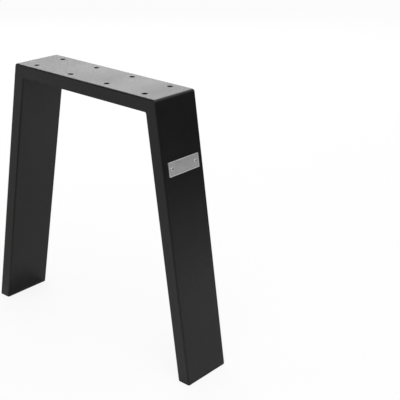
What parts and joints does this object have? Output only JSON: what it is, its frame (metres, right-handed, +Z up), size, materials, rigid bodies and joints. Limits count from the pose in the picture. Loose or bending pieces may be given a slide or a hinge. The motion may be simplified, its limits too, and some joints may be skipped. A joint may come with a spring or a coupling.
{
  "type": "u-shaped table leg",
  "caption": "Splayed U-shaped table leg of mitred rectangular steel tube, black coated, with a drilled top rail that screws under a table top or bench and plugged feet.",
  "frame": {"origin": "on the floor, midway between the feet and midway across the tube's width", "axes": "+X along the rail, towards the leg that carries the plate; +Y across the tube's wide side; +Z up, from the floor to the face that carries the table top"},
  "size_m": [0.4106, 0.08, 0.4],
  "materials": {
    "powder_coat": "fine matt black powder coat",
    "plug_plastic": "matt black moulded plastic",
    "plate_metal": "satin, blank",
    "rivet_metal": "plain, as set"
  },
  "bodies": {
    "root": {"top_rail": "powder_coat", "left_leg": "powder_coat", "right_leg": "powder_coat", "left_foot_plug": "plug_plastic", "right_foot_plug": "plug_plastic", "blank_plate": "plate_metal", "plate_rivets": "rivet_metal"}
  },
  "joints": []
}
